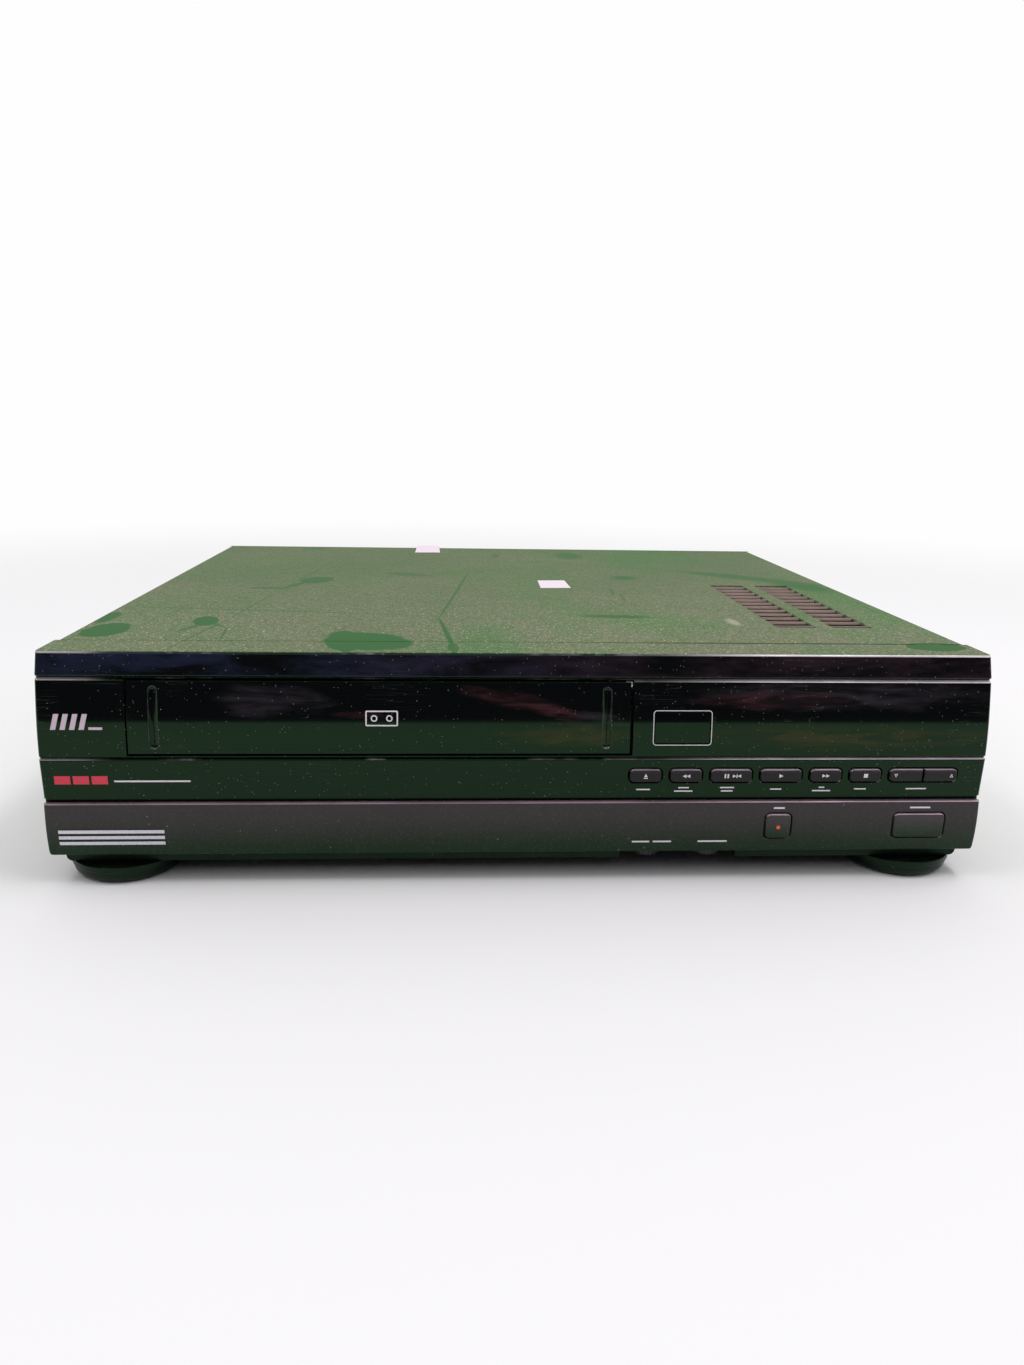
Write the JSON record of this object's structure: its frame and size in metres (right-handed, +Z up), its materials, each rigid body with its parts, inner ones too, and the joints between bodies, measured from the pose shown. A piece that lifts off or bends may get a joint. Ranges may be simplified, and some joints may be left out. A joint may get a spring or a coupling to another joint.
{
  "type": "video cassette recorder",
  "caption": "Front-loading video cassette recorder: steel cover, glossy front with hinged cassette door, transport keys, round feet and a full tape mechanism.",
  "frame": {"origin": "centre of the bounding box on the surface that the feet stand on", "axes": "+X to the right seen from the front, along the width; -Y out of the front; +Z up"},
  "size_m": [0.38, 0.364, 0.095],
  "materials": {
    "cover_enamel": "dark semi-gloss enamel with a light haze of dust",
    "gloss_black": "polished black moulding with fine scratches",
    "charcoal": "satin charcoal with a fine sparkle",
    "key_black": "semi-gloss black",
    "smoked_lens": "smoked lens",
    "pan_black": "satin black paint",
    "rear_black": "fine-textured black paint",
    "foot_black": "satin black",
    "zinc_steel": "zinc plated",
    "black_steel": "blackened",
    "drum_alloy": "fine turned",
    "black_rubber": "matt",
    "bright_metal": "bright plated",
    "tin_plate": "tin plated",
    "board_green": "lacquered circuit board",
    "dark_plastic": "moulded",
    "white_plastic": "moulded",
    "bearing_bronze": "sintered",
    "core_iron": "varnished",
    "control_blue": "moulded"
  },
  "bodies": {
    "case": {"top_cover": "cover_enamel", "front_bezel": "gloss_black", "lower_front_panel": "charcoal", "display_window": "smoked_lens", "base_pan": "pan_black", "rear_panel": "rear_black", "feet": "foot_black", "foot_screws": "zinc_steel", "cover_screws": "black_steel", "chassis_screws": "zinc_steel", "deck_plate": "zinc_steel", "main_board": "board_green", "power_transformer": "core_iron", "heat_sink": "drum_alloy", "tuner_module": "tin_plate", "aerial_connectors": "bright_metal", "video_audio_jacks": "bright_metal", "mains_inlet": "dark_plastic", "front_switch_board": "board_green", "tracking_controls": "control_blue", "lower_drum": "drum_alloy", "capstan_bearing": "bearing_bronze", "drive_belt": "black_rubber", "loading_motor": "bright_metal", "full_erase_head": "zinc_steel", "audio_control_head": "zinc_steel", "carriage_left_bracket": "zinc_steel", "carriage_right_bracket": "zinc_steel", "door_spring": "zinc_steel"},
    "door": {"cassette_door": "gloss_black"},
    "slow_wheel": {"slow_tracking_wheel": "dark_plastic"},
    "track_wheel": {"tracking_wheel": "dark_plastic"},
    "drum": {"upper_drum": "drum_alloy", "drum_rotor": "black_steel"},
    "capstan": {"capstan": "zinc_steel"},
    "clutch": {"clutch_pulley": "dark_plastic"},
    "idler_arm": {"idler_arm": "zinc_steel"},
    "idler_wheel": {"idler_wheel": "black_rubber"},
    "supply_reel": {"supply_reel_table": "dark_plastic"},
    "takeup_reel": {"takeup_reel_table": "dark_plastic"},
    "pinch_arm": {"pinch_arm": "zinc_steel"},
    "pinch_roller": {"pinch_roller": "black_rubber"},
    "tension_arm": {"tension_arm": "zinc_steel"},
    "supply_guide": {"supply_guide_block": "zinc_steel"},
    "takeup_guide": {"takeup_guide_block": "zinc_steel"},
    "loading_pinion": {"loading_pinion": "white_plastic"},
    "cam_gear": {"cam_gear": "white_plastic"},
    "carriage": {"carriage_frame": "zinc_steel"},
    "holder": {"cassette_holder": "zinc_steel"},
    "channel_switch": {"channel_switch": "white_plastic"},
    "eject_key": {"eject_button": "key_black"},
    "rewind_key": {"rewind_button": "key_black"},
    "pause_key": {"pause_button": "key_black"},
    "play_key": {"play_button": "key_black"},
    "fast_forward_key": {"fast_forward_button": "key_black"},
    "stop_key": {"stop_button": "key_black"},
    "channel_down_key": {"channel_down_button": "key_black"},
    "channel_up_key": {"channel_up_button": "key_black"},
    "record_key": {"record_button": "charcoal"},
    "power_key": {"power_button": "charcoal"}
  },
  "joints": [
    {"name": "door_swing", "type": "hinge", "parent": "case", "child": "door", "pos_m": [-0.0565, -0.1746, 0.0827], "axis": [1, 0, 0], "range_deg": [0, 100], "stiffness_Nm_per_rad": 0.004, "springref_deg": -34.38, "deforming": ["door_spring"]},
    {"name": "eject_press", "type": "slide", "parent": "case", "child": "eject_key", "axis": [0, 1, 0], "range_m": [0, 0.001], "stiffness_N_per_m": 400},
    {"name": "rewind_press", "type": "slide", "parent": "case", "child": "rewind_key", "axis": [0, 1, 0], "range_m": [0, 0.001], "stiffness_N_per_m": 400},
    {"name": "pause_press", "type": "slide", "parent": "case", "child": "pause_key", "axis": [0, 1, 0], "range_m": [0, 0.001], "stiffness_N_per_m": 400},
    {"name": "play_press", "type": "slide", "parent": "case", "child": "play_key", "axis": [0, 1, 0], "range_m": [0, 0.001], "stiffness_N_per_m": 400},
    {"name": "fast_forward_press", "type": "slide", "parent": "case", "child": "fast_forward_key", "axis": [0, 1, 0], "range_m": [0, 0.001], "stiffness_N_per_m": 400},
    {"name": "stop_press", "type": "slide", "parent": "case", "child": "stop_key", "axis": [0, 1, 0], "range_m": [0, 0.001], "stiffness_N_per_m": 400},
    {"name": "channel_down_press", "type": "slide", "parent": "case", "child": "channel_down_key", "axis": [0, 1, 0], "range_m": [0, 0.001], "stiffness_N_per_m": 400},
    {"name": "channel_up_press", "type": "slide", "parent": "case", "child": "channel_up_key", "axis": [0, 1, 0], "range_m": [0, 0.001], "stiffness_N_per_m": 400},
    {"name": "record_press", "type": "slide", "parent": "case", "child": "record_key", "axis": [0, 1, 0], "range_m": [0, 0.001], "stiffness_N_per_m": 400},
    {"name": "power_press", "type": "slide", "parent": "case", "child": "power_key", "axis": [0, 1, 0], "range_m": [0, 0.001], "stiffness_N_per_m": 400},
    {"name": "slow_tracking_turn", "type": "hinge", "parent": "case", "child": "slow_wheel", "pos_m": [0.0528, -0.1692, 0.0098], "axis": [0, 0, 1], "range_deg": [-135, 135]},
    {"name": "tracking_turn", "type": "hinge", "parent": "case", "child": "track_wheel", "pos_m": [0.0783, -0.1692, 0.0098], "axis": [0, 0, 1], "range_deg": [-135, 135]},
    {"name": "channel_switch_slide", "type": "slide", "parent": "case", "child": "channel_switch", "axis": [1, 0, 0], "range_m": [0, 0.004]},
    {"name": "drum_spin", "type": "hinge", "parent": "case", "child": "drum", "pos_m": [-0.0565, 0.058, 0.029], "axis": [0, 0.1038, 0.9946], "continuous": true},
    {"name": "capstan_spin", "type": "hinge", "parent": "case", "child": "capstan", "pos_m": [0.0035, 0.013, 0.029], "axis": [0, 0, 1], "continuous": true},
    {"name": "clutch_spin", "type": "hinge", "parent": "case", "child": "clutch", "pos_m": [-0.0565, -0.022, 0.029], "axis": [0, 0, 1], "continuous": true},
    {"name": "idler_swing", "type": "hinge", "parent": "case", "child": "idler_arm", "pos_m": [-0.0565, -0.022, 0.029], "axis": [0, 0, 1], "range_deg": [-36.5, 36.5]},
    {"name": "idler_spin", "type": "hinge", "parent": "idler_arm", "child": "idler_wheel", "pos_m": [-0.0565, -0.0428, 0.032], "axis": [0, 0, 1], "continuous": true},
    {"name": "supply_reel_spin", "type": "hinge", "parent": "case", "child": "supply_reel", "pos_m": [-0.10275, -0.037, 0.029], "axis": [0, 0, 1], "continuous": true},
    {"name": "takeup_reel_spin", "type": "hinge", "parent": "case", "child": "takeup_reel", "pos_m": [-0.01025, -0.037, 0.029], "axis": [0, 0, 1], "continuous": true},
    {"name": "pinch_swing", "type": "hinge", "parent": "case", "child": "pinch_arm", "pos_m": [0.0295, 0.03, 0.029], "axis": [0, 0, 1], "range_deg": [0, 35]},
    {"name": "pinch_roller_spin", "type": "hinge", "parent": "pinch_arm", "child": "pinch_roller", "pos_m": [0.00716, 0.03503, 0.039], "axis": [0, 0, 1], "continuous": true},
    {"name": "tension_swing", "type": "hinge", "parent": "case", "child": "tension_arm", "pos_m": [-0.1345, 0.014, 0.029], "axis": [0, 0, 1], "range_deg": [0, 45]},
    {"name": "cam_turn", "type": "hinge", "parent": "case", "child": "cam_gear", "pos_m": [-0.1125, -0.099, 0.029], "axis": [0, 0, 1], "range_deg": [0, 300]},
    {"name": "pinion_turn", "type": "hinge", "parent": "case", "child": "loading_pinion", "pos_m": [-0.0836, -0.099, 0.029], "axis": [0, 0, 1], "range_deg": [-1500, 0]},
    {"name": "supply_guide_slide", "type": "slide", "parent": "case", "child": "supply_guide", "axis": [-0.2425, 0.9701, 0], "range_m": [0, 0.0481]},
    {"name": "takeup_guide_slide", "type": "slide", "parent": "case", "child": "takeup_guide", "axis": [0.2425, 0.9701, 0], "range_m": [0, 0.0481]},
    {"name": "carriage_slide", "type": "slide", "parent": "case", "child": "carriage", "axis": [0, 1, 0], "range_m": [0, 0.075]},
    {"name": "holder_drop", "type": "slide", "parent": "carriage", "child": "holder", "axis": [0, 0, -1], "range_m": [0, 0.0216]}
  ],
  "couplings": [
    {"joint": "clutch_spin", "follows": "capstan_spin", "ratio": 0.5},
    {"joint": "idler_spin", "follows": "capstan_spin", "ratio": -0.3913},
    {"joint": "pinion_turn", "follows": "cam_turn", "ratio": -5},
    {"joint": "supply_guide_slide", "follows": "cam_turn", "m_per_rad": 0.0091673},
    {"joint": "takeup_guide_slide", "follows": "cam_turn", "m_per_rad": 0.0091673}
  ]
}
